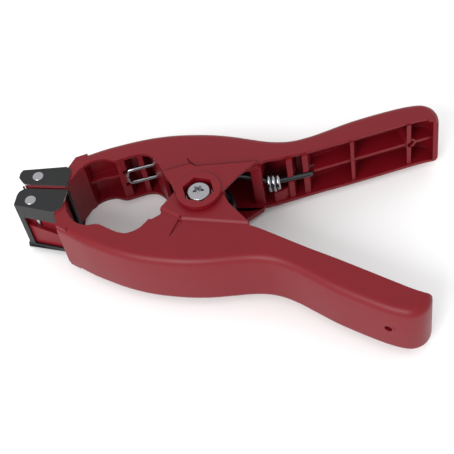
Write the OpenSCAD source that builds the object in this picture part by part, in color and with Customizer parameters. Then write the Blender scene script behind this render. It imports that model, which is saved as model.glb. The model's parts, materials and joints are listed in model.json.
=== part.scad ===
// Spring-closed hand clamp with folded steel jaws, lying flat: jaws to -X, handles to +X, pivot axis along Z.
// Both levers are the same moulding, one of them turned half a turn about the X axis.
// The origin is under the middle of the tool, level with the lowest face.

/* [Levers] */
// Half the thickness of a lever, from the middle plane to the outside of a cheek.
lever_half = 15.5; // [14:0.5:17]
// Wall thickness of the top and bottom cheeks.
cheek = 1.8; // [1.4:0.1:2.4]
// Wall thickness of the closed outer side of the channel.
web = 2.4; // [1.8:0.1:3]
// Radius of the rounding between the outer side and the cheeks.
edge_r = 4; // [2:0.5:5]
// How far the handles reach behind the pivot.
handle_reach = 108.5; // [106:0.5:112]
// Thickness of the thin cross ribs.
rib = 1.6; // [1.2:0.2:2.2]

/* [Hub] */
// Radius of the barrel that turns in the other lever's ear.
barrel_r = 9.3; // [9:0.1:9.8]
// Radius of the raised round boss on the outer ear.
boss_r = 10.6; // [10:0.2:11]
// Radius of the round end of the inner ear.
ear_r = 12; // [11.4:0.2:12.4]
// Thickness of the inner ear.
ear_t = 3.1; // [2.5:0.1:3.4]
// How far the inner ear stands above the cheek.
ear_rise = 0.9; // [0.6:0.1:1.2]
// Gap between parts of the two levers.
gap = 0.3; // [0.3:0.05:0.4]
// Width across the flats of the hexagonal pocket.
pocket_af = 13.4; // [13.2:0.1:13.6]
// Depth of the hexagonal pocket.
pocket_deep = 5; // [4.6:0.1:5.2]
// Radius of the pivot screw's shaft.
shaft_r = 3; // [2.8:0.05:3]

/* [Jaws] */
// How far the jaws reach in front of the pivot.
jaw_reach = 90.5; // [90:0.5:93]
// Thickness of the steel sheet of the jaws.
sheet = 0.9; // [0.7:0.1:1]
// Distance of each gripping face from the middle plane between the jaws.
face_gap = 0.25; // [0.2:0.05:0.4]
// Radius of the rivet's shank.
rivet_r = 1.5; // [1.2:0.1:1.8]

/* [Spring] */
// Mean radius of the main spring's coil.
coil_r = 14.6; // [13.5:0.1:14.8]
// Radius of the main spring's wire.
wire_r = 1.4; // [1.1:0.1:1.5]
// Number of whole turns in the main spring's coil.
coil_turns = 4; // [3:1:4]

/* [Hidden] */
facets = 48;
h = lever_half;
ear_top = h + ear_rise;
plate_low = ear_top + gap;
plate_top = plate_low + 1.4;
boss_top = plate_low + 2.5;
floor_top = boss_top - pocket_deep;
barrel_low = floor_top - 2;
ear_low = ear_top - ear_t;
middle_x = (handle_reach - jaw_reach) / 2;
hole_r = shaft_r + 0.08;
jaw_z = h + sheet + 0.05;
rivet_at = [-81, 7.4];
handle_turn = 24;
ring_at = [94.6, 49.2];
wire_z = 6.5;
clip_z = 4.5;

// Outline of one lever: the closed outer side from the front of the head to the end of the handle.
outer_pts = [[-65.4, 21.8], [-60, 24.6], [-52, 28.6], [-44, 31.8], [-36, 34.6], [-28, 36.8], [-19, 38.4],
    [-9, 39.2], [0, 39.3], [9, 38.6], [18, 37.2], [26, 35.9], [33, 35.5], [40, 36.4], [48, 39.4], [56, 43.6],
    [66, 49], [77, 53.9], [88, 58.2], [95, 60.2], [100.5, 60.7], [105, 58.8], [107.6, 55.4],
    [handle_reach, 52], [handle_reach, 49.6]];
// The open side, back from the end of the handle to the front of the head.
handle_pts = [[handle_reach - edge_r - 0.5, 49.3], [handle_reach - edge_r - 2, 48.9], [98, 47.2], [88, 42.9],
    [78, 38.6], [66, 33.5], [54, 28.7], [44, 24.4], [36, 20.9], [30, 18.4], [25.5, 17]];
head_pts = [[-21.5, 15.5], [-25, 20.8], [-30, 23.9], [-35, 23.6], [-40, 21.6], [-45.5, 19.4], [-51, 20.3],
    [-56, 18.9], [-60, 15.8], [-62.6, 12.9], [-64.4, 17]];

// Smooth curve through a list of points, with the given number of steps between two points.
function curve(p, steps) = concat(
    [for (i = [0:len(p) - 2], j = [0:steps - 1])
        let(a = p[max(i - 1, 0)], b = p[i], c = p[i + 1], d = p[min(i + 2, len(p) - 1)], t = j / steps)
        0.5 * (2 * b + (c - a) * t + (2 * a - 5 * b + 4 * c - d) * t * t + (3 * b - a - 3 * c + d) * t * t * t)],
    [p[len(p) - 1]]);
function unit(v) = v / norm(v);
// Moves an open line of points sideways, to its right as seen along the line.
function inset(p, dist) = [for (i = [0:len(p) - 1])
    let(a = unit(p[min(i + 1, len(p) - 1)] - p[max(i - 1, 0)])) p[i] + dist * [a[1], -a[0]]];

// Lines where the raised ears end: on the outer ear and on the inner ear.
outer_ledge = [[-19.4, 11.5], [-7, 16.3], [-4.4, 15.1], [25.2, 19.1]];
inner_ledge = [[-16.7, 8.8], [-7, 13.2], [-5.9, 14.3], [25.4, 15.6]];

outer_line = curve(outer_pts, 3);
handle_line = curve(handle_pts, 3);
head_line = curve(head_pts, 3);
open_line = concat(handle_line, head_line);

// Triangles between the outer line a and the open line b, from the front of the head to the handle end.
function cap(a, b, i, j) =
    i == len(a) - 1 && j == 0 ? []
    : j == 0 || (i < len(a) - 1 && a[i + 1][0] <= b[j - 1][0])
        ? concat([[i, i + 1, len(a) + j]], cap(a, b, i + 1, j))
        : concat([[i, len(a) + j - 1, len(a) + j]], cap(a, b, i, j - 1));

// Solid block in the outline of a lever, with rounded long edges on the outer side.
module lever_block() {
    steps = 3;
    n = len(outer_line);
    m = len(open_line);
    rings = [for (side = [-1, 1], k = [0:steps])
        let(a = side < 0 ? 90 - 90 * k / steps : 90 * k / steps)
        concat([for (q = inset(outer_line, edge_r * (1 - cos(a)))) [q[0], q[1], side * (h - edge_r + edge_r * sin(a))]],
            [for (q = open_line) [q[0], q[1], side * (h - edge_r + edge_r * sin(a))]])];
    count = n + m;
    levels = len(rings);
    pts = [for (r = rings, q = r) q];
    walls = [for (k = [0:levels - 2], i = [0:count - 1])
        let(j = (i + 1) % count, a = k * count + i, b = k * count + j)
        each [[a, b, b + count], [a, b + count, a + count]]];
    ends = cap(inset(outer_line, edge_r), open_line, 0, m - 1);
    top = (levels - 1) * count;
    polyhedron(pts, concat(walls, [for (t = ends) [t[2], t[1], t[0]]], [for (t = ends) t + [top, top, top]]));
}

// Straight wall along a line of points, between two heights.
module wall(line, thick, low, high) {
    back = inset(line, thick);
    translate([0, 0, low])
        linear_extrude(high - low)
            polygon(concat(line, [for (i = [len(back) - 1:-1:0]) back[i]]));
}

module flat(pts, low, high) {
    translate([0, 0, low])
        linear_extrude(high - low)
            polygon(pts);
}

// Space inside the channel: everything on the open side of the outer wall.
module channel() {
    inner = inset(outer_line, web);
    n = len(inner);
    line = [for (i = [2:n - 9]) inner[i]];
    translate([0, 0, -h + cheek])
        linear_extrude(2 * (h - cheek))
            polygon(concat([[-62, 0], [-62, 21]], line, [[handle_reach - web, 54], [handle_reach - web, 40], [40, 0]]));
}

// Cross ribs of the channel, cut to the outline of the lever.
module cross_ribs() {
    intersection() {
        translate([0, 0, -h + 1.3])
            linear_extrude(2 * h - 2.6)
                polygon(concat(inset(outer_line, 1.8), [for (q = open_line) if (q[0] < 104) q + [0, 0.9]]));
        union() {
            for (r = [[-45.6, 4], [-35.4, 2.4], [21.4, 5]])
                translate([r[0], 10, -h])
                    cube([r[1], 40, 2 * h]);
            for (r = [[38, 2.6], [45.2, 2.6], [67.4, rib], [93.6, rib + 0.4]])
                translate([r[0], 15, -h])
                    cube([r[1], 48, 2 * h]);
            // long rib on the middle plane
            flat([[-63, 16], [-56, 19.4], [-44, 23.4], [-44, 34], [-63, 30]], -0.8, 0.8);
            flat([[46, 27.2], [70, 37.2], [94, 47.4], [108, 53.4], [108, 60], [94, 62], [46, 42]], -0.8, 0.8);
            // slanting rib behind the thick cross rib
            flat([[25, 12.4], [38.4, 24.2], [38.4, 26.2], [25, 14.4]], -h, -h + 9);
        }
    }
}

// Tube that follows a path of points.
module tube(path, r, sides = 10) {
    n = len(path);
    dirs = [for (i = [0:n - 1]) unit(path[min(i + 1, n - 1)] - path[max(i - 1, 0)])];
    up = [0.02, 0.03, 1];
    pts = [for (i = [0:n - 1])
        let(u = unit(cross(up, dirs[i])), v = cross(dirs[i], u))
        each [for (k = [0:sides - 1]) path[i] + r * (cos(360 * k / sides) * u + sin(360 * k / sides) * v)]];
    walls = [for (i = [0:n - 2], k = [0:sides - 1])
        let(a = i * sides + k, b = i * sides + (k + 1) % sides)
        each [[a, a + sides, b + sides], [a, b + sides, b]]];
    polyhedron(pts, concat(walls, [[for (k = [0:sides - 1]) k]], [[for (k = [sides - 1:-1:0]) (n - 1) * sides + k]]));
}

// One lever with its ears; the outer ear and its barrel are on top, the inner ear is below.
module lever() {
    difference() {
        union() {
            difference() {
                lever_block();
                channel();
            }
            cross_ribs();
            tongue();
            outer_ear();
            inner_ear();
            // rounded wall between the head and the hub
            wall(curve([[-28.6, 25.4], [-24.6, 20.6], [-21.4, 15.3]], 4), -2, -h + 1, h - 1);
            // tube of the hole through the handle
            translate([ring_at[0], ring_at[1], 0])
                rotate([-90, 0, handle_turn])
                    translate([0, 0, -1.5])
                        cylinder(r = 3, h = 12, $fn = facets);
        }
        // room for the turning ear and barrel of the other lever
        translate([0, 0, -ear_top - gap])
            rotate([180, 0, 0])
                cylinder(r = ear_r + 3, h = 8, $fn = facets);
        hexagon_pocket();
        translate([0, 0, barrel_low - 1])
            cylinder(r = hole_r, h = 8, $fn = facets);
        translate([0, 0, -ear_top - 1])
            cylinder(r = barrel_r + 0.06, h = ear_t + 2, $fn = 96);
        translate([ring_at[0], ring_at[1], 0])
            rotate([-90, 0, handle_turn])
                translate([0, 0, -10])
                    cylinder(r = 1.8, h = 40, $fn = facets);
        // openings for the spring's leg and its small coil
        flat([[18, 18.9], [18, 24.2], [28, 24.2], [28, 19.4]], -1.4, 6);
        flat([[36, 15], [36, 28.6], [50, 32.6], [50, 15]], -2, 2);
        // the top cheek ends a little short of the bottom one
        flat([[25.4, 12], [25.3, 19.8], [28.3, 21.7], [35.2, 23.4], [39.8, 25], [44.4, 26.4], [50, 28.4], [56, 31],
            [62.8, 33.7], [68.5, 36.1], [76.6, 39.7], [88, 44.6], [98, 48.8], [103, 50.2], [104, 49.8], [104, 40],
            [60, 12]], h - cheek - 0.01, h + 1);
        // groove beside the hub, on both sides
        groove([-4.4, 15.1], [-10, 22.5], h);
        mirror([0, 0, 1])
            groove([-6.3, 15.6], [-10.4, 26], h);
        // slots for the wire in the head
        for (s = [-1, 1])
            flat([[-43.6, 19.6], [-43.6, 23.8], [-27, 30.8], [-22, 26.5], [-27, 24]], s * clip_z - 1.4, s * clip_z + 1.4);
    }
}

// Shallow three-cornered groove in a cheek, wide at its first point.
module groove(p, q, high) {
    across = 1.3 * unit([q[1] - p[1], p[0] - q[0]]);
    flat([p - across, p + across, q], high - 0.8, high + 0.01);
}

module hexagon_pocket() {
    translate([0, 0, floor_top])
        rotate([0, 0, -8])
            cylinder(r = pocket_af / 2 / cos(30), h = 10, $fn = 6);
}

// Raised plate over the hub, with the round boss and the barrel.
module outer_ear() {
    flat(concat([[-6, -5], [6, -5], [10, -1.6], [17.6, 10.4]], [for (i = [3:-1:0]) outer_ledge[i]],
        [[-17.3, 8.4], [-14.2, 4.4], [-9.9, -3.2]]), plate_low, plate_top);
    // cheek under the ledge, and the raised strip that joins it to the plate
    flat([[-22, 17], [-19.4, 11.5], [-17.3, 8.4], [-8, 12.7], [-3, 13], [8, 14.2], [21.6, 15.8], [26, 18], [26, 20],
        [-22, 20]], h - cheek, h);
    flat(concat([[-17.3, 8.4], [-8, 12.7], [-3, 13], [21.6, 15.8]], [for (i = [3:-1:0]) outer_ledge[i]]),
        h - cheek, plate_top);
    for (i = [0, 2])
        ramp(outer_ledge[i], outer_ledge[i + 1], h - 0.3, plate_top, 1.2);
    translate([0, 0, plate_low])
        cylinder(r = boss_r, h = boss_top - plate_low, $fn = 96);
    translate([0, 0, barrel_low])
        cylinder(r = barrel_r, h = boss_top - barrel_low - 0.5, $fn = 96);
}

// Plain ear that the other lever's barrel turns in.
module inner_ear() {
    flat(concat([[-16.7, 8.8], [-15.4, 6.6]], [for (a = [180:10:360]) ear_r * [cos(a), sin(a)]],
        [[12, 0.6], [14.8, 5.2], [19.8, 10.2]], [for (i = [3:-1:1]) inner_ledge[i]]), -ear_top, -ear_low);
    // cheek under the ledge
    flat([[-22, 17], [-16.4, 12.6], [-16.7, 8.8], [-8, 11.6], [-4, 12.6], [19, 13.4], [25.4, 15], [27, 20],
        [-22, 20]], -h, -ear_low);
    for (i = [0, 2])
        mirror([0, 0, 1])
            ramp(inner_ledge[i], inner_ledge[i + 1], h - 0.3, ear_top, 1.5);
}

// Sloping end of a raised plate between two points, falling away to the left of the line.
module ramp(p, q, low, high, run) {
    translate([p[0], p[1], 0])
        rotate([90, 0, 90 + atan2(q[1] - p[1], q[0] - p[0])])
            linear_extrude(norm(q - p))
                polygon([[-0.2, low], [run, low], [0, high], [-0.2, high]]);
}

// Core that the steel jaw is folded round, with its neck.
module tongue() {
    difference() {
        flat([[-87.4, 3.5], [-84.2, 1.45], [-66, 1.45], [-64.6, 6], [-62, 12.8], [-60, 15], [-60, 23.6], [-65.4, 21],
            [-67.6, 14.4], [-67.6, 12.9], [-87.4, 9.3]], -h + 0.05, h - 0.05);
        // slanting recess in the outer face, behind the jaw's window
        intersection() {
            flat([[-86.2, 6.9], [-67.8, 10.1], [-67.8, 13.6], [-86.2, 12]], -9, 6);
            rotate([90, 0, 0])
                translate([0, 0, -15])
                    linear_extrude(10)
                        polygon([[-86.3, -9.5], [-86.3, 0], [-67, 5], [-67, -9.5]]);
        }
        flat([[-85, -1], [-85, 5], [-68, 7.5], [-68, -1]], 1, h - 2.4);
        flat([[-85, -1], [-85, 5], [-68, 7.5], [-68, -1]], -h + 2.4, -1);
        translate([rivet_at[0], rivet_at[1], -h - 1])
            cylinder(r = rivet_r + 0.05, h = 2 * h + 2, $fn = facets);
    }
}

// Folded steel jaw: gripping face, wide plate, windowed side and narrow plate.
module jaw() {
    o = h + 0.05;
    difference() {
        union() {
            flat([[-88.6, 10.4], [-88.6, 4.2], [-87.6, 2.1], [-85.8, 0.8], [-83.8, face_gap], [-64, face_gap],
                [-64.9, 10.2], [-65.8, 12.3], [-68, 13.9]], -jaw_z, -o);
            flat([[-jaw_reach, 8.9], [-89.6, 11.2], [-68, 14], [-65.4, 11.6], [-64.9, 2.1], [-86.4, 2.3],
                [-89.6, 5.8]], o, jaw_z);
            flat([[-84.6, face_gap], [-64.2, face_gap], [-64.2, face_gap + sheet], [-84.6, face_gap + sheet]], -jaw_z, h - 1.6);
            flat([[-84.6, face_gap], [-84.4, face_gap + sheet], [-87.6, 3.2], [-88.6, 3.2], [-87, 1.4]], -jaw_z, h - 1.6);
            flat([[-88.6, 9.6], [-68, 13.2], [-68, 14], [-88.6, 10.5]], -jaw_z, jaw_z);
        }
        flat([[-85.8, 5], [-85.8, 20], [-60, 20], [-60, 9.5], [-67, 9.5]], -7.4, h - 2);
        translate([rivet_at[0], rivet_at[1], -h - 2])
            cylinder(r = rivet_r + 0.05, h = 2 * h + 4, $fn = facets);
    }
}

module jaw_rivet() {
    translate([rivet_at[0], rivet_at[1], 0]) {
        translate([0, 0, -jaw_z - 0.5])
            cylinder(r = rivet_r, h = 2 * jaw_z + 1, $fn = facets);
        for (s = [0, 180])
            rotate([s, 0, 0])
                translate([0, 0, jaw_z + 0.02])
                    cylinder(r1 = 2.7, r2 = 1.9, h = 0.7, $fn = facets);
    }
}

module pivot_screw() {
    difference() {
        union() {
            translate([0, 0, -boss_top + 0.6])
                cylinder(r = shaft_r, h = 2 * boss_top - 3, $fn = facets);
            translate([0, 0, floor_top + 1.1])
                cylinder(r = 6, h = 2.6, $fn = 64);
            translate([0, 0, floor_top + 3.7])
                cylinder(r1 = 6, r2 = 4.4, h = 1.1, $fn = 64);
        }
        for (a = [20, 80, 140])
            translate([0, 0, boss_top - 1.4])
                rotate([0, 0, a])
                    cube([5.4, 1.5, 3.6], center = true);
    }
}

module ring(r_in, r_out, low, high) {
    translate([0, 0, low])
        difference() {
            cylinder(r = r_out, h = high - low, $fn = 64);
            translate([0, 0, -1])
                cylinder(r = r_in, h = high - low + 2, $fn = 64);
        }
}

module pivot_nut() {
    translate([0, 0, -floor_top - 5])
        difference() {
            rotate([0, 0, 8])
                cylinder(r = (pocket_af - 0.3) / 2 / cos(30), h = 3.9, $fn = 6);
            translate([0, 0, -1])
                cylinder(r = shaft_r + 0.03, h = 8, $fn = 64);
        }
}

// Torsion spring: a coil round the hub and two legs that push the handles apart.
module main_spring() {
    turn = 108;
    coil_h = -2 * wire_z;
    sweep = coil_turns * 360 + 360 - 2 * turn;
    leg_up = [[48.5, 27.2, 0], [40, 24.4, 0], [34, 22.4, 0], [29, 21.7, 0.2], [24, 21.6, 1.8], [18, 21, 4],
        [12, 20, 5.4], [4, 17.3, 6.3]];
    coil = [for (i = [0:15:sweep]) let(a = turn + i) [coil_r * cos(a), coil_r * sin(a), wire_z + coil_h * i / sweep]];
    leg_low = [for (i = [len(leg_up) - 1:-1:0]) [leg_up[i][0], -leg_up[i][1], -leg_up[i][2]]];
    tube(concat(leg_up, coil, leg_low), wire_r, 12);
}

// Small coil round the leg of the main spring, behind the thick cross rib.
module leg_coil() {
    path = [for (i = [0:20:900]) [0.0062 * i, 4.4 * cos(i), 4.4 * sin(i)]];
    translate([28.2, 21.6, 0])
        rotate([0, 0, 6])
            tube(path, 1, 8);
}

// U-shaped wire held in the slots of the head.
module head_wire() {
    path = concat([[-25.4, 28.6, clip_z], [-34, 25.3, clip_z]],
        [for (a = [90:-20:-90]) [-40.4 - 2 * cos(a), 22.9 - 0.8 * cos(a), clip_z * sin(a)]],
        [[-34, 25.3, -clip_z], [-25.4, 28.6, -clip_z]]);
    tube(path, 1, 10);
}

// Puts a piece drawn round the pivot into its place above the origin.
module place(flip = false) {
    translate([-middle_x, 0, boss_top])
        rotate([flip ? 180 : 0, 0, 0])
            children();
}

red = [0.5, 0.05, 0.08];
steel = [0.7, 0.7, 0.72];
dark = [0.15, 0.15, 0.16];

module lower_lever() { color(red) place(true) lever(); }
module upper_lever() { color(red) place() lever(); }
module lower_jaw() { color(dark) place(true) jaw(); }
module upper_jaw() { color(dark) place() jaw(); }
module lower_jaw_rivet() { color(steel) place(true) jaw_rivet(); }
module upper_jaw_rivet() { color(steel) place() jaw_rivet(); }
module screw() { color(steel) place() pivot_screw(); }
module screw_washer() { color(steel) place() ring(hole_r, 6.3, floor_top + 0.3, floor_top + 1.08); }
module nut_washer() { color(steel) place(true) ring(hole_r, 6.3, floor_top + 0.02, floor_top + 1.06); }
module nut() { color(steel) place() pivot_nut(); }
module bush() { color(steel) place() ring(hole_r, 5.5, -barrel_low + gap, barrel_low - gap); }
module spring() { color(dark) place() main_spring(); }
module lower_leg_coil() { color(steel) place(true) leg_coil(); }
module upper_leg_coil() { color(steel) place() leg_coil(); }
module lower_head_wire() { color(steel) place(true) head_wire(); }
module upper_head_wire() { color(steel) place() head_wire(); }

lower_lever();
upper_lever();
lower_jaw();
upper_jaw();
lower_jaw_rivet();
upper_jaw_rivet();
screw();  // pivot_screw
screw_washer();
nut_washer();
nut();  // pivot_nut
bush();  // pivot_bush
spring();  // main_spring
lower_leg_coil();
upper_leg_coil();
lower_head_wire();
upper_head_wire();
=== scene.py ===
import bpy
import bmesh
import json
import math
from mathutils import Matrix, Vector


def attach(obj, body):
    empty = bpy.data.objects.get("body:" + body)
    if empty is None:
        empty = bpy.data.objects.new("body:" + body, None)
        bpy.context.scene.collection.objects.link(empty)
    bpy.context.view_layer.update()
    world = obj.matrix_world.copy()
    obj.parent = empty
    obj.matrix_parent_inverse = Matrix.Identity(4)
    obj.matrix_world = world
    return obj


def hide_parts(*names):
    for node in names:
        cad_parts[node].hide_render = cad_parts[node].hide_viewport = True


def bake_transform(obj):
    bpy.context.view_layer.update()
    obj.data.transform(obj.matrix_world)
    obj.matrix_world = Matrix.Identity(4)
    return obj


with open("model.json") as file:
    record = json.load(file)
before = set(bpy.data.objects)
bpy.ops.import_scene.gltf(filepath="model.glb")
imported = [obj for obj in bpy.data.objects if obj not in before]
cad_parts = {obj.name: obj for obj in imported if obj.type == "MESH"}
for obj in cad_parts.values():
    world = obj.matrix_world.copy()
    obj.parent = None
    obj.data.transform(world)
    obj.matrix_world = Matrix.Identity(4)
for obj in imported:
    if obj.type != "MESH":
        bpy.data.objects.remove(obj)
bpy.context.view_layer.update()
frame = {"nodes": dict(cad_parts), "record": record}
record = frame["record"]
joint = next(j for j in record["behaviour"]["joints"] if j["name"] == "pivot")
pivot = Vector(joint["pos_m"])
scene = bpy.context.scene
MM = 0.001

# ---------------------------------------------------------------- sizes, in millimetres from the pivot
# They are the upper lever's; the lower lever is the same turned half a turn about X.
HALF = 15.5  # middle plane to the outside of a cheek
CHEEK = 1.7  # side walls of the channel
WEB = 2.3  # wall along the outer edge
EDGE = 4.0  # radius of the long outer edges
EAR = 16.4  # middle plane to the outside of the inner ear
EAR_THICK = 3.1
PLATE = 16.7  # middle plane to the underside of the hub plate
PLATE_TOP = PLATE + 1.4
BOSS = 19.2  # middle plane to the outside of the round boss
FLOOR = BOSS - 5  # floor of the hexagonal pocket
PROUD = 0.015  # keeps two faces from lying in one plane
FLATS = 13.4  # pocket across its flats
HEXAGON_TURN = 8  # degrees
SCREW_HOLE = 3.08
HEAD_WIRE_Z = 4.5  # half the width of the U-shaped wire
WIRE_ROOM = 1.4  # half the width of a slot for one leg of it
RIVET_AT = (-81, 7.4, 0)
RIVET_HOLE = 1.55
JAW = HALF + 0.95  # middle plane to the outside of the jaw's sheet
JAW_GAP = 0.05  # between sheet and moulding

# outer edge of the lever, from the head to the end of the handle
OUTER = [(-65.4, 21.8), (-60, 24.6), (-52, 28.6), (-44, 31.8), (-36, 34.6), (-28, 36.8), (-19, 38.4),
         (-9, 39.2), (0, 39.3), (9, 38.6), (18, 37.2), (26, 35.9), (33, 35.5), (40, 36.4), (48, 39.4),
         (56, 43.6), (66, 49), (77, 53.9), (88, 58.2), (95, 60.2), (100.5, 60.7), (105, 58.8),
         (107.6, 55.4), (108.5, 52), (108.5, 49.6)]
# open edge of the handle, back towards the hub
HANDLE = [(104, 49.3), (102.5, 48.9), (98, 47.2), (88, 42.9), (78, 38.6), (66, 33.5), (54, 28.7),
          (44, 24.4), (36, 20.9), (30, 18.4), (25.5, 17)]
# edges of the hub plate and of the inner ear
OUTER_LEDGE = [(-19.4, 11.5), (-7, 16.3), (-4.4, 15.1), (25.2, 19.1)]
INNER_LEDGE = [(-16.7, 8.8), (-7, 13.2), (-5.9, 14.3), (25.4, 15.6)]
# waved finger edge of the head
HEAD = [(-21.5, 15.5), (-25, 20.8), (-30, 23.9), (-35, 23.6), (-40, 21.6), (-45.5, 19.4), (-51, 20.3),
        (-56, 18.9), (-60, 15.8), (-62.6, 12.9), (-64.4, 17)]


# ---------------------------------------------------------------- materials
def material(name, color, rough, metallic=0.0, grain=0.0, grain_size=900.0, mottle=0.0, edge=0.0, shine=0.5):
    """Surface with fine grain in its relief and a slight change of colour and gloss over its area."""
    mat = bpy.data.materials.new(name)
    mat.use_nodes = True
    tree = mat.node_tree
    s = tree.nodes["Principled BSDF"]
    s.inputs["Metallic"].default_value = metallic
    s.inputs["Specular IOR Level"].default_value = shine
    where = tree.nodes.new("ShaderNodeTexCoord")
    big = tree.nodes.new("ShaderNodeTexNoise")
    big.inputs["Scale"].default_value = 60
    big.inputs["Detail"].default_value = 4
    tree.links.new(where.outputs["Object"], big.inputs["Vector"])
    ramp = tree.nodes.new("ShaderNodeMix")
    ramp.data_type = "RGBA"
    ramp.inputs["A"].default_value = (*[c * (1 - mottle) for c in color], 1)
    ramp.inputs["B"].default_value = (*[min(1, c * (1 + mottle)) for c in color], 1)
    tree.links.new(big.outputs["Fac"], ramp.inputs["Factor"])
    tree.links.new(ramp.outputs["Result"], s.inputs["Base Color"])
    gloss = tree.nodes.new("ShaderNodeMapRange")
    gloss.inputs["To Min"].default_value = rough * 0.88
    gloss.inputs["To Max"].default_value = rough * 1.12
    tree.links.new(big.outputs["Fac"], gloss.inputs["Value"])
    tree.links.new(gloss.outputs["Result"], s.inputs["Roughness"])
    fine = tree.nodes.new("ShaderNodeTexNoise")
    fine.inputs["Scale"].default_value = grain_size
    fine.inputs["Detail"].default_value = 3
    tree.links.new(where.outputs["Object"], fine.inputs["Vector"])
    bump = tree.nodes.new("ShaderNodeBump")
    bump.inputs["Strength"].default_value = grain
    bump.inputs["Distance"].default_value = 0.0002
    tree.links.new(fine.outputs["Fac"], bump.inputs["Height"])
    tree.links.new(bump.outputs["Normal"], s.inputs["Normal"])
    if edge:
        soft = tree.nodes.new("ShaderNodeBevel")
        soft.samples = 6
        soft.inputs["Radius"].default_value = edge
        tree.links.new(soft.outputs["Normal"], bump.inputs["Normal"])
    return mat


RED = material("red moulded plastic", (0.160, 0.003, 0.008), 0.42, grain=0.10, grain_size=1400, mottle=0.05,
               edge=0.0004, shine=0.28)
DARK = material("blackened steel sheet", (0.010, 0.0105, 0.0115), 0.42, 0.35, grain=0.12, grain_size=1100,
                mottle=0.2, edge=0.00025)
# lighter metal, put on the jaw's narrow cut edges
EDGE_STEEL = material("lighter sheet edge", (0.55, 0.55, 0.57), 0.32, 1.0, grain=0.1, mottle=0.1)
STEEL = material("zinc plated steel", (0.36, 0.36, 0.38), 0.2, 1.0, grain=0.12, grain_size=700, mottle=0.12)
SPRING = material("oiled spring wire", (0.06, 0.062, 0.068), 0.3, 0.9, grain=0.08, mottle=0.2)
PLAIN = {"upper_lever": RED, "lower_lever": RED, "upper_jaw": DARK, "lower_jaw": DARK, "main_spring": SPRING}
for name, ob in frame["nodes"].items():
    ob.data.materials.clear()
    ob.data.materials.append(PLAIN.get(name, STEEL))


# ---------------------------------------------------------------- mesh helpers
def curve(points, steps):
    """Smooth line through flat or spatial points, with steps pieces between two points."""
    out = []
    for i in range(len(points) - 1):
        a, b, c, d = (Vector(points[j]) for j in (max(i - 1, 0), i, i + 1, min(i + 2, len(points) - 1)))
        square, cube = 2 * a - 5 * b + 4 * c - d, 3 * b - a - 3 * c + d
        for j in range(steps):
            t = j / steps
            out.append(0.5 * (2 * b + (c - a) * t + square * t * t + cube * t ** 3))
    return out + [Vector(points[-1])]


def on_circle(r, degrees):
    a = math.radians(degrees)
    return (r * math.cos(a), r * math.sin(a))


def hexagon_corner(flats):
    """Radius to the corners of a hexagon of this width across its flats."""
    return flats / 2 / math.cos(math.pi / 6)


def inset(line, dist):
    """Open line moved to its right."""
    out = []
    for i, p in enumerate(line):
        d = (line[min(i + 1, len(line) - 1)] - line[max(i - 1, 0)]).normalized()
        out.append(p + dist * Vector((d.y, -d.x)))
    return out


def solid(name, verts, faces, mat=None):
    """New object from points and faces, with all faces looking out."""
    mesh = bpy.data.meshes.new(name)
    mesh.from_pydata([tuple(v) for v in verts], [], faces)
    bm = bmesh.new()
    bm.from_mesh(mesh)
    bmesh.ops.recalc_face_normals(bm, faces=bm.faces)
    bm.to_mesh(mesh)
    bm.free()
    ob = bpy.data.objects.new(name, mesh)
    if mat:
        mesh.materials.append(mat)
    scene.collection.objects.link(ob)
    return ob


def prism(points, low, high):
    """Flat outline drawn out along Z."""
    n = len(points)
    verts = [(p[0], p[1], low) for p in points] + [(p[0], p[1], high) for p in points]
    faces = [list(range(n)), list(range(n, 2 * n))]
    faces += [[i, (i + 1) % n, n + (i + 1) % n, n + i] for i in range(n)]
    return solid("prism", verts, faces)


def lathe(profile, sides=96, name="lathe", mat=None):
    """Closed body turned about Z from a list of (radius, height)."""
    verts, faces = [], []
    n = len(profile)
    for k in range(sides):
        a = 2 * math.pi * k / sides
        verts += [(r * math.cos(a), r * math.sin(a), z) for r, z in profile]
    for k in range(sides):
        for i in range(n - 1):
            a, b = k * n + i, ((k + 1) % sides) * n + i
            faces.append([a, b, b + 1, a + 1])
    ob = solid(name, verts, faces, mat)
    bm = bmesh.new()
    bm.from_mesh(ob.data)
    bmesh.ops.remove_doubles(bm, verts=bm.verts, dist=1e-6)
    bmesh.ops.holes_fill(bm, edges=bm.edges)
    bmesh.ops.recalc_face_normals(bm, faces=bm.faces)
    bm.to_mesh(ob.data)
    bm.free()
    return ob


def tube(path, radius, sides, name, mat, steps=3):
    """Round wire along a path, with rounded ends."""
    path = [Vector(p) for p in path]
    n = len(path)
    cap = [on_circle(1, 90 * k / steps) for k in range(1, steps + 1)]
    up = Vector((0.02, 0.03, 1))  # never along the wire
    verts, faces = [], []
    rings = []
    for i in range(n):
        d = (path[min(i + 1, n - 1)] - path[max(i - 1, 0)]).normalized()
        u = up.cross(d).normalized()
        v = d.cross(u)
        spots = [(0, 1)]
        if i == 0:
            spots = [(-along, wide) for along, wide in cap]
        if i == n - 1:
            spots = cap[::-1]
        for along, wide in spots:
            rings.append((path[i] + d * along * radius, u * radius * wide, v * radius * wide))
    for c, u, v in rings:
        for k in range(sides):
            a = 2 * math.pi * k / sides
            verts.append(c + math.cos(a) * u + math.sin(a) * v)
    for i in range(len(rings) - 1):
        for k in range(sides):
            a, b = i * sides + k, i * sides + (k + 1) % sides
            faces.append([a, b, b + sides, a + sides])
    faces += [list(range(sides)), list(range((len(rings) - 1) * sides, len(rings) * sides))]
    return solid(name, verts, faces, mat)


def combine(base, others, how):
    """Adds or cuts other solids. They are used up."""
    for other in others:
        mod = base.modifiers.new("b", "BOOLEAN")
        mod.operation = how
        mod.object = other
        mod.solver = "EXACT"
        bpy.context.view_layer.update()
        graph = bpy.context.evaluated_depsgraph_get()
        mesh = bpy.data.meshes.new_from_object(base.evaluated_get(graph))
        base.modifiers.clear()
        base.data = mesh
        bpy.data.objects.remove(other)
    return base


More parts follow.
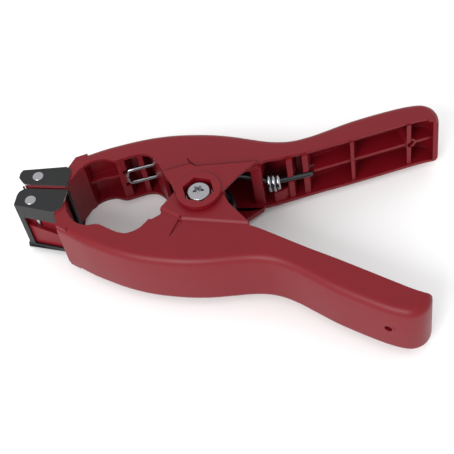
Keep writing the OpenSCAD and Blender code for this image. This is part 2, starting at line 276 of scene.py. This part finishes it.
def finish_edges(ob, width, mat):
    """Cleans the mesh, rounds its sharp edges where a width is given, and shades it smooth."""
    bm = bmesh.new()
    bm.from_mesh(ob.data)
    bmesh.ops.remove_doubles(bm, verts=bm.verts, dist=0.004)
    bmesh.ops.dissolve_degenerate(bm, edges=bm.edges, dist=0.01)
    bm.to_mesh(ob.data)
    bm.free()
    ob.data.materials.clear()
    ob.data.materials.append(mat)
    if width:
        mod = ob.modifiers.new("round", "BEVEL")
        mod.width = width
        mod.segments = 2
        mod.limit_method = "ANGLE"
        mod.angle_limit = math.radians(40)
        graph = bpy.context.evaluated_depsgraph_get()
        mesh = bpy.data.meshes.new_from_object(ob.evaluated_get(graph))
        ob.modifiers.clear()
        ob.data = mesh
    smooth(ob, 30)
    return ob


def smooth(ob, angle):
    """Smooth shading that stops at edges sharper than an angle in degrees."""
    ob.data.shade_smooth()
    ob.data.set_sharp_from_angle(angle=math.radians(angle))


def place(ob, flip=False):
    """From millimetres round the pivot to the shared frame; flip is for the lower lever's pieces."""
    m = Matrix.Translation(pivot) @ Matrix.Scale(MM, 4)
    if flip:
        m = m @ Matrix.Rotation(math.pi, 4, "X")
    ob.data.transform(m)


def copy_of(ob, name):
    other = bpy.data.objects.new(name, ob.data.copy())
    scene.collection.objects.link(other)
    return other


# ---------------------------------------------------------------- lever
outer_line = curve(OUTER, 6)
handle_line = curve(HANDLE, 5)
head_line = curve(HEAD, 6)


def lever_block():
    """Solid in the outline of a lever with rounded long edges on the outer side."""
    steps = 8
    open_line = handle_line + head_line
    verts, faces = [], []
    count = len(outer_line) + len(open_line)
    levels = []
    for side in (-1, 1):
        for k in range(steps + 1):
            a = math.radians(90 * (steps - k) / steps if side < 0 else 90 * k / steps)
            levels.append((EDGE * (1 - math.cos(a)), side * (HALF - EDGE + EDGE * math.sin(a))))
    for shift, z in levels:
        verts += [(p.x, p.y, z) for p in inset(outer_line, shift) + open_line]
    for k in range(len(levels) - 1):
        for i in range(count):
            a, b = k * count + i, k * count + (i + 1) % count
            faces.append([a, b, b + count, a + count])
    # flat ends: triangles between the outer line and the open line
    a, b = inset(outer_line, EDGE), open_line
    i, j, top = 0, len(b) - 1, (len(levels) - 1) * count
    while i < len(a) - 1 or j > 0:
        if j == 0 or (i < len(a) - 1 and a[i + 1].x <= b[j - 1].x):
            face = [i, i + 1, len(a) + j]
            i += 1
        else:
            face = [i, len(a) + j - 1, len(a) + j]
            j -= 1
        faces += [face, [top + f for f in face]]
    return solid("lever", verts, faces)


def channel():
    """Room inside the lever, open towards the other one."""
    line = inset(outer_line, WEB)[8:-16]
    line = [(-62, 0), (-62, 20.6)] + line + [(106.1, 54), (106.1, 40), (40, 0)]
    return prism(line, -HALF + CHEEK, HALF - CHEEK)


def strip(line, thick, low, high):
    """Wall along an open line."""
    return prism(line + list(reversed(inset(line, thick))), low, high)


def ribs():
    """Cross ribs and long ribs, cut to the outline."""
    z = HALF - 1.3
    thin = 0.8  # half the thickness of a long rib
    outline = inset(outer_line, 1.6) + [p + Vector((0, 0.8)) for p in handle_line + head_line if p.x < 104]
    keep = prism(outline, -z, z)
    bars = []
    across = [(-45.6, 4.0), (-35.4, 2.4), (21.4, 5.0), (38, 2.6), (45.2, 2.6), (67.4, 1.6), (93.6, 2.0)]
    for x, thick in across:
        bars.append(prism([(x, 8), (x + thick, 8), (x + thick, 64), (x, 64)], -HALF, HALF))
    bars.append(prism([(-63, 16), (-56, 19.4), (-44, 23.4), (-44, 34), (-63, 30)], -thin, thin))
    back = [(46, 27.2), (70, 37.2), (94, 47.4), (108, 53.4), (108, 60), (94, 62), (46, 42)]
    bars.append(prism(back, -thin, thin))
    bars.append(prism([(25, 12.4), (38.4, 24.2), (38.4, 26.2), (25, 14.4)], -HALF, -HALF + 9))
    combine(bars[0], bars[1:], "UNION")
    return combine(bars[0], [keep], "INTERSECT")


def ramp(p, q, low, high, run):
    """Sloping end of a raised plate between two points, falling away to the left of the line."""
    p, q = Vector(p), Vector(q)
    left = Vector((p.y - q.y, q.x - p.x)).normalized()
    profile = [(-0.2, low), (run, low), (0, high), (-0.2, high)]
    verts = [(*(end + left * across), z) for end in (p, q) for across, z in profile]
    faces = [[0, 1, 2, 3], [4, 5, 6, 7]] + [[i, (i + 1) % 4, 4 + (i + 1) % 4, 4 + i] for i in range(4)]
    return solid("ramp", verts, faces)


def groove(p, q, low, high):
    """Wedge-shaped groove that runs out at q."""
    p, q = Vector(p), Vector(q)
    across = 1.3 * Vector((q.y - p.y, p.x - q.x)).normalized()
    return prism([p - across, p + across, q], low, high)


def cylinder(r, low, high, sides=64):
    return lathe([(0, low), (r, low), (r, high), (0, high)], sides)


def handle_ring():
    """Place of the hole through the end of the handle."""
    aim = Matrix.Rotation(math.radians(24), 4, "Z") @ Matrix.Rotation(-math.pi / 2, 4, "X")
    return Matrix.Translation((94.6, 49.2, 0)) @ aim


def hub_plate():
    """Raised plate with its boss and barrel on the outer cheek."""
    ledge = list(reversed(OUTER_LEDGE))
    seam = [(-17.3, 8.4), (-8, 12.7), (-3, 13)]
    under = prism([(-22, 17), (-19.4, 11.5)] + seam + [(8, 14.2), (21.6, 15.8), (26, 18), (26, 20),
                                                       (-22, 20)], HALF - CHEEK, HALF + PROUD)
    join = prism(seam + [(21.6, 15.8)] + ledge, HALF - CHEEK, PLATE_TOP)
    tip = [(-6, -5), (6, -5), (10, -1.6), (17.6, 10.4)]
    plate = prism(tip + ledge + [(-17.3, 8.4), (-14.2, 4.4), (-9.9, -3.2)], PLATE, PLATE_TOP)
    return [under, join, plate, cylinder(10.6, PLATE, BOSS, 128), cylinder(9.3, FLOOR - 2, BOSS - 0.5, 128)]


def inner_ear():
    """Ear that carries the other lever's barrel, and the cheek below it."""
    arc = [on_circle(12, a) for a in range(180, 361, 5)]
    ear = prism([(-16.7, 8.8), (-15.4, 6.6)] + arc + [(12, 0.6), (14.8, 5.2), (19.8, 10.2)]
                + list(reversed(INNER_LEDGE[1:])), -EAR, -EAR + EAR_THICK)
    under = prism([(-22, 17), (-16.4, 12.6), (-16.7, 8.8), (-8, 11.6), (-4, 12.6), (19, 13.4), (25.4, 15),
                   (27, 20), (-22, 20)], -HALF - PROUD, -EAR + EAR_THICK)
    return [ear, under]


def slopes():
    """Sloping ends of the hub plate and of the ear."""
    out = [ramp(OUTER_LEDGE[i], OUTER_LEDGE[i + 1], HALF - 0.3, PLATE_TOP, 1.2) for i in (0, 2)]
    for i in (0, 2):
        slope = ramp(INNER_LEDGE[i], INNER_LEDGE[i + 1], HALF - 0.3, EAR, 1.5)
        slope.data.transform(Matrix.Scale(-1, 4, (0, 0, 1)))
        slope.data.flip_normals()
        out.append(slope)
    return out


def hub_cuts():
    """Room for the other lever's plate, pocket, screw hole and the barrel's seat."""
    corner = hexagon_corner(FLATS)
    pocket = lathe([(0, FLOOR), (corner, FLOOR), (corner, 30), (0, 30)], 6)
    pocket.data.transform(Matrix.Rotation(math.radians(-HEXAGON_TURN), 4, "Z"))
    return [cylinder(15, -EAR - 0.3 - 8, -EAR - 0.3), pocket, cylinder(SCREW_HOLE, FLOOR - 4, FLOOR + 4),
            cylinder(9.36, -EAR - 1, -EAR + 5, 128)]


def short_cheek():
    """What the outer cheek lacks along its open edge, next to the inner one."""
    return prism([(25.4, 12), (25.3, 19.8), (28.3, 21.7), (35.2, 23.4), (39.8, 25), (44.4, 26.4), (50, 28.4),
                  (56, 31), (62.8, 33.7), (68.5, 36.1), (76.6, 39.7), (88, 44.6), (98, 48.8), (103, 50.2),
                  (104, 49.8), (104, 40), (60, 12)], HALF - CHEEK - 0.01, HALF + 1)


def tongue_recess():
    """Slanting recess in the outer face of the tongue, behind the jaw's window."""
    recess = prism([(-86.2, 6.9), (-67.8, 10.1), (-67.8, 13.6), (-86.2, 12)], -9, 6)
    wedge = prism([(-86.3, -9.5), (-86.3, 0), (-67, 5), (-67, -9.5)], -15, -5)
    wedge.data.transform(Matrix.Rotation(math.pi / 2, 4, "X"))
    return combine(recess, [wedge], "INTERSECT")


def head_cuts():
    """Slots for the U-shaped wire, hollows in the tongue and the rivet's hole."""
    line = [(-43.6, 19.6), (-43.6, 23.8), (-27, 30.8), (-22, 26.5), (-27, 24)]
    slots = [prism(line, z - WIRE_ROOM, z + WIRE_ROOM) for z in (-HEAD_WIRE_Z, HEAD_WIRE_Z)]
    hollows = [prism([(-85, -1), (-85, 5), (-68, 7.5), (-68, -1)], *z) for z in ((1, 13.1), (-13.1, -1))]
    rivet_hole = cylinder(RIVET_HOLE, -20, 20)
    rivet_hole.data.transform(Matrix.Translation(RIVET_AT))
    return slots + hollows + [rivet_hole]


def lever():
    """The whole moulding: channel, ribs, tongue for the jaw, hub plate, ear and handle ring."""
    body = combine(lever_block(), [channel()], "DIFFERENCE")
    tongue = prism([(-87.4, 3.5), (-84.2, 1.45), (-66, 1.45), (-64.6, 6), (-62, 12.8), (-60, 15), (-60, 23.6),
                    (-65.4, 21), (-67.6, 14.4), (-67.6, 12.9), (-87.4, 9.3)], -HALF + 0.05, HALF - 0.05)
    back = strip(curve([(-28.6, 25.4), (-24.6, 20.6), (-21.4, 15.3)], 6), -2, -HALF + 1, HALF - 1)
    ring = cylinder(3, -1.5, 10.5)
    ring.data.transform(handle_ring())
    combine(body, [ribs(), tongue] + hub_plate() + inner_ear() + [back, ring] + slopes(), "UNION")
    bore = cylinder(1.8, -10, 30)
    bore.data.transform(handle_ring())
    spring_leg = prism([(18, 18.9), (18, 24.2), (28, 24.2), (28, 19.4)], -1.4, 6)
    notch = prism([(36, 15), (36, 28.6), (50, 32.6), (50, 15)], -2, 2)
    grooves = [groove((-4.4, 15.1), (-10, 22.5), HALF - 0.8, HALF + 0.1),
               groove((-6.3, 15.6), (-10.4, 26), -HALF - 0.1, -HALF + 0.8)]
    cuts = hub_cuts() + [bore, spring_leg, notch, short_cheek(), tongue_recess()] + grooves + head_cuts()
    combine(body, cuts, "DIFFERENCE")
    return finish_edges(body, 0, RED)


upper = lever()
upper.name = "upper_lever_moulding"
lower = copy_of(upper, "lower_lever_moulding")
for ob, flip, side in ((upper, False, "upper"), (lower, True, "lower")):
    place(ob, flip)
    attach(ob, side + "_half")
    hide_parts(side + "_lever")


# ---------------------------------------------------------------- steel jaws
def rounded(points, radii, steps=6):
    """Closed outline with rounded corners."""
    out = []
    n = len(points)
    for i, r in enumerate(radii):
        p = Vector(points[i])
        a, b = (Vector(points[i - 1]) - p).normalized(), (Vector(points[(i + 1) % n]) - p).normalized()
        if not r:
            out.append(p)
            continue
        half = math.acos(max(-1, min(1, a.dot(b)))) / 2
        centre = p + (a + b).normalized() * r / math.sin(half)
        start, end = p + a * r / math.tan(half), p + b * r / math.tan(half)
        u, v = start - centre, end - centre
        sweep = math.atan2(u.x * v.y - u.y * v.x, u.dot(v))
        for k in range(steps + 1):
            t = sweep * k / steps
            c, s = math.cos(t), math.sin(t)
            out.append(centre + Vector((u.x * c - u.y * s, u.x * s + u.y * c)))
    return out


def jaw():
    """Folded sheet: wide plate below, windowed outer side, narrow plate on top, gripping face."""
    low, end = -JAW + 0.3, HALF - 1.6
    wide = rounded([(-88.6, 10.4), (-88.6, 3.2), (-85.2, 0.25), (-64, 0.25), (-64.7, 11.4), (-68, 13.9)],
                   [0.3, 3.4, 2, 0.4, 2.6, 0.6])
    narrow = rounded([(-90.5, 9), (-89.6, 11.2), (-68, 14), (-65.3, 12.1), (-64.9, 2.1), (-86.8, 2.3),
                      (-90.4, 6.2)], [1, 0.5, 0.6, 2.4, 0.4, 2.4, 1.6])
    shell = prism(wide, -JAW, -HALF - JAW_GAP)
    grip = prism([(-84.6, 0.25), (-64.2, 0.25), (-64.2, 1.15), (-84.6, 1.15)], low, end)
    x, y, r = -84.7, 4.25, 4
    outside = [(x, y - r)]
    for a in range(10, 79, 8):
        a = math.radians(a)
        outside.append((x - r * math.sin(a), y - r * math.cos(a)))
    centre = Vector((x, y))
    inside = [centre + (Vector(p) - centre) * 0.77 for p in reversed(outside)]
    side = prism([(-88.6, 9.6), (-68, 13.2), (-68, 14), (-88.6, 10.45)], -JAW, JAW)
    top = prism(narrow, HALF + JAW_GAP, JAW)
    combine(shell, [top, grip, prism(outside + inside, low, end), side], "UNION")
    window = prism([(-85.8, 5), (-85.8, 20), (-60, 20), (-60, 9.5), (-67, 9.5)], -7.4, HALF - 2)
    hole = cylinder(RIVET_HOLE, -20, 20)
    hole.data.transform(Matrix.Translation(RIVET_AT))
    combine(shell, [window, hole], "DIFFERENCE")
    finish_edges(shell, 0, DARK)
    # lighter metal on the narrow cut edges
    shell.data.materials.append(EDGE_STEEL)
    for face in shell.data.polygons:
        depth = [shell.data.vertices[v].co.z for v in face.vertices]
        narrow_cut = max(depth) - min(depth) < 1 and min(abs(z) for z in depth) > HALF
        if abs(face.normal.z) < 0.1 and narrow_cut:
            face.material_index = 1
    return shell


def jaw_rivet():
    """Shank through the whole jaw with a low dome at each end."""
    dome = [(0, 0), (2.75, 0), (2.75, 0.12), (2.6, 0.36), (2.25, 0.56), (1.6, 0.68), (0.95, 0.7), (0.8, 0.62),
            (0, 0.58)]
    top = JAW + 0.02
    body = lathe([(0, -top), (1.5, -top), (1.5, top), (0, top)], 48, "rivet", STEEL)
    combine(body, [lathe([(r, s * (top + z)) for r, z in dome], 64) for s in (1, -1)], "UNION")
    body.data.transform(Matrix.Translation(RIVET_AT))
    smooth(body, 50)
    return body


# ---------------------------------------------------------------- pivot screw, nut, washers and bush
def pivot_screw():
    """Pan head with a star-shaped recess, on a plain shank."""
    profile = [(0, FLOOR + 1.1), (5.85, FLOOR + 1.1), (6, FLOOR + 1.25), (6, FLOOR + 2.4)]
    for a in range(10, 91, 10):
        a = math.radians(a)
        profile.append((6 - 2.2 * (1 - math.cos(a)), FLOOR + 2.4 + 1.9 * math.sin(a)))
    profile += [(2.6, FLOOR + 4.62), (1.3, FLOOR + 4.74), (0, FLOOR + 4.78)]
    head = lathe(profile, 96, "screw", STEEL)
    shank = lathe([(0, -BOSS + 0.6), (2.6, -BOSS + 0.6), (3, -BOSS + 1), (3, FLOOR + 1.6), (0, FLOOR + 1.6)],
                  64)
    combine(head, [shank], "UNION")
    star = []
    for k in range(60):
        a = 2 * math.pi * k / 60
        r = 2.35 + 0.75 * math.cos(5 * a + 0.4)
        star.append((r * math.cos(a), r * math.sin(a)))
    cone = prism(star, FLOOR + 2.6, BOSS + 1)
    for v in cone.data.vertices:
        k = 0.7 if v.co.z < BOSS else 1.1
        v.co.x, v.co.y = v.co.x * k, v.co.y * k
    combine(head, [cone], "DIFFERENCE")
    return finish_edges(head, 0.12, STEEL)


def hexagon_nut():
    """Hexagon with chamfered corners and a turned bore."""
    r = hexagon_corner(FLATS - 0.3)
    nut = lathe([(0, -FLOOR - 5), (r, -FLOOR - 5), (r, -FLOOR - 1.1), (0, -FLOOR - 1.1)], 6)
    nut.data.transform(Matrix.Rotation(math.radians(HEXAGON_TURN), 4, "Z"))
    chamfer = lathe([(0, -FLOOR - 5.01), (r - 1.1, -FLOOR - 5.01), (r + 0.3, -FLOOR - 4.2),
                     (r + 0.3, -FLOOR - 1), (0, -FLOOR - 1)])
    combine(nut, [chamfer], "INTERSECT")
    combine(nut, [cylinder(3.03, -30, 0)], "DIFFERENCE")
    return finish_edges(nut, 0.12, STEEL)


def washer(outer, low, high):
    """Washer or bush on the screw, with its edges broken by c."""
    c, inner = 0.12, SCREW_HOLE
    profile = [(inner, low + c), (inner + c, low), (outer - c, low), (outer, low + c), (outer, high - c),
               (outer - c, high), (inner + c, high), (inner, high - c), (inner, low + c)]
    ob = lathe(profile, 96, "washer", STEEL)
    smooth(ob, 40)
    return ob


# ---------------------------------------------------------------- springs and wires
def spring_path():
    """Leg along the upper lever, coil round the pivot, and the same leg turned over."""
    start, z0 = 108, 6.5
    sweep = 5 * 360 - 2 * start
    leg = [(48.5, 27.2, 0), (40, 24.4, 0), (34, 22.4, 0), (29, 21.7, 0.2), (24, 21.6, 1.8), (18, 21, 4),
           (12, 20, 5.4), (4, 17.3, 6.3)]
    coil = [(*on_circle(14.6, start + i), z0 - 2 * z0 * i / sweep) for i in range(0, sweep + 1, 6)]
    near = curve(leg + coil[:1], 4)[:-1]
    return near + [Vector(c) for c in coil] + [Vector((v.x, -v.y, -v.z)) for v in reversed(near)]


def leg_coil():
    """Small coil of two and a half turns behind the thick cross rib."""
    path = [(0.0062 * i, *on_circle(4.4, i)) for i in range(0, 901, 10)]
    ob = tube(path, 1, 14, "leg_coil", STEEL)
    ob.data.transform(Matrix.Translation((28.2, 21.6, 0)) @ Matrix.Rotation(math.radians(6), 4, "Z"))
    smooth(ob, 50)
    return ob


def head_wire():
    """U-shaped wire across the head."""
    z = HEAD_WIRE_Z
    leg = [(-25.4, 28.6), (-30, 26.8), (-34, 25.3), (-38, 23.8)]
    path = [(*p, z) for p in leg]
    for a in range(80, -81, -10):
        a = math.radians(a)
        path.append((-40.4 - 2 * math.cos(a), 22.9 - 0.8 * math.cos(a), z * math.sin(a)))
    path += [(*p, -z) for p in reversed(leg)]
    ob = tube(path, 1, 16, "head_wire", STEEL)
    smooth(ob, 50)
    return ob


for make, node in ((jaw, "jaw"), (jaw_rivet, "jaw_rivet"), (leg_coil, "leg_coil"), (head_wire, "head_wire")):
    first = make()
    for side, flip in (("upper", False), ("lower", True)):
        ob = copy_of(first, side + "_" + node + "_detail")
        place(ob, flip)
        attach(ob, side + "_half")
        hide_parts(side + "_" + node)
    bpy.data.objects.remove(first)

for ob, node, flip in ((pivot_screw(), "pivot_screw", False), (hexagon_nut(), "pivot_nut", False),
                       (washer(6.3, FLOOR + 0.3, FLOOR + 1.08), "screw_washer", False),
                       (washer(6.3, FLOOR + 0.02, FLOOR + 1.06), "nut_washer", True),
                       (washer(5.5, -FLOOR + 2.3, FLOOR - 2.3), "pivot_bush", False)):
    ob.name = node + "_detail"
    place(ob, flip)
    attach(ob, "lower_half")
    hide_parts(node)

coil = tube(spring_path(), 1.4, 20, "main_spring_detail", SPRING)
smooth(coil, 50)
place(coil)
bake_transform(coil)
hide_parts("main_spring")

# ---------------------------------------------------------------- stage, light and camera
bpy.ops.mesh.primitive_plane_add(size=6, location=(0, 0, -0.0005))
floor = bpy.context.object
floor.data.materials.append(material("pale floor", (0.97, 0.97, 0.97), 0.7))

azimuth, elevation, roll = math.radians(17.8), math.radians(51.5), math.radians(-12.2)
flat = math.cos(elevation)
forward = Vector((-math.sin(azimuth) * flat, math.cos(azimuth) * flat, -math.sin(elevation)))
right = Vector((math.cos(azimuth), math.sin(azimuth), 0))
up = right.cross(forward)
right, up = math.cos(roll) * right + math.sin(roll) * up, math.cos(roll) * up - math.sin(roll) * right
camera = bpy.data.objects.new("camera", bpy.data.cameras.new("camera"))
camera.data.lens = 86
camera.data.sensor_width = 36
camera.data.clip_start = 0.01
eye = pivot + Vector((0.1095, -0.3103, 0.4005))
camera.matrix_world = Matrix.Translation(eye) @ Matrix((right, up, -forward)).transposed().to_4x4()
scene.collection.objects.link(camera)
scene.camera = camera
scene.view_settings.view_transform = "Standard"

world = bpy.data.worlds.new("world")
scene.world = world
world.use_nodes = True
world.node_tree.nodes["Background"].inputs["Color"].default_value = (1, 1, 1, 1)
world.node_tree.nodes["Background"].inputs["Strength"].default_value = 1.0


def lamp(name, where, size, power):
    """Square lamp that looks at the origin."""
    data = bpy.data.lights.new(name, "AREA")
    data.size = size
    data.energy = power
    ob = bpy.data.objects.new(name, data)
    ob.location = where
    ob.rotation_euler = (-Vector(where)).to_track_quat("-Z", "Y").to_euler()
    scene.collection.objects.link(ob)


lamp("key", (-0.3, -0.9, 0.7), 0.6, 9)
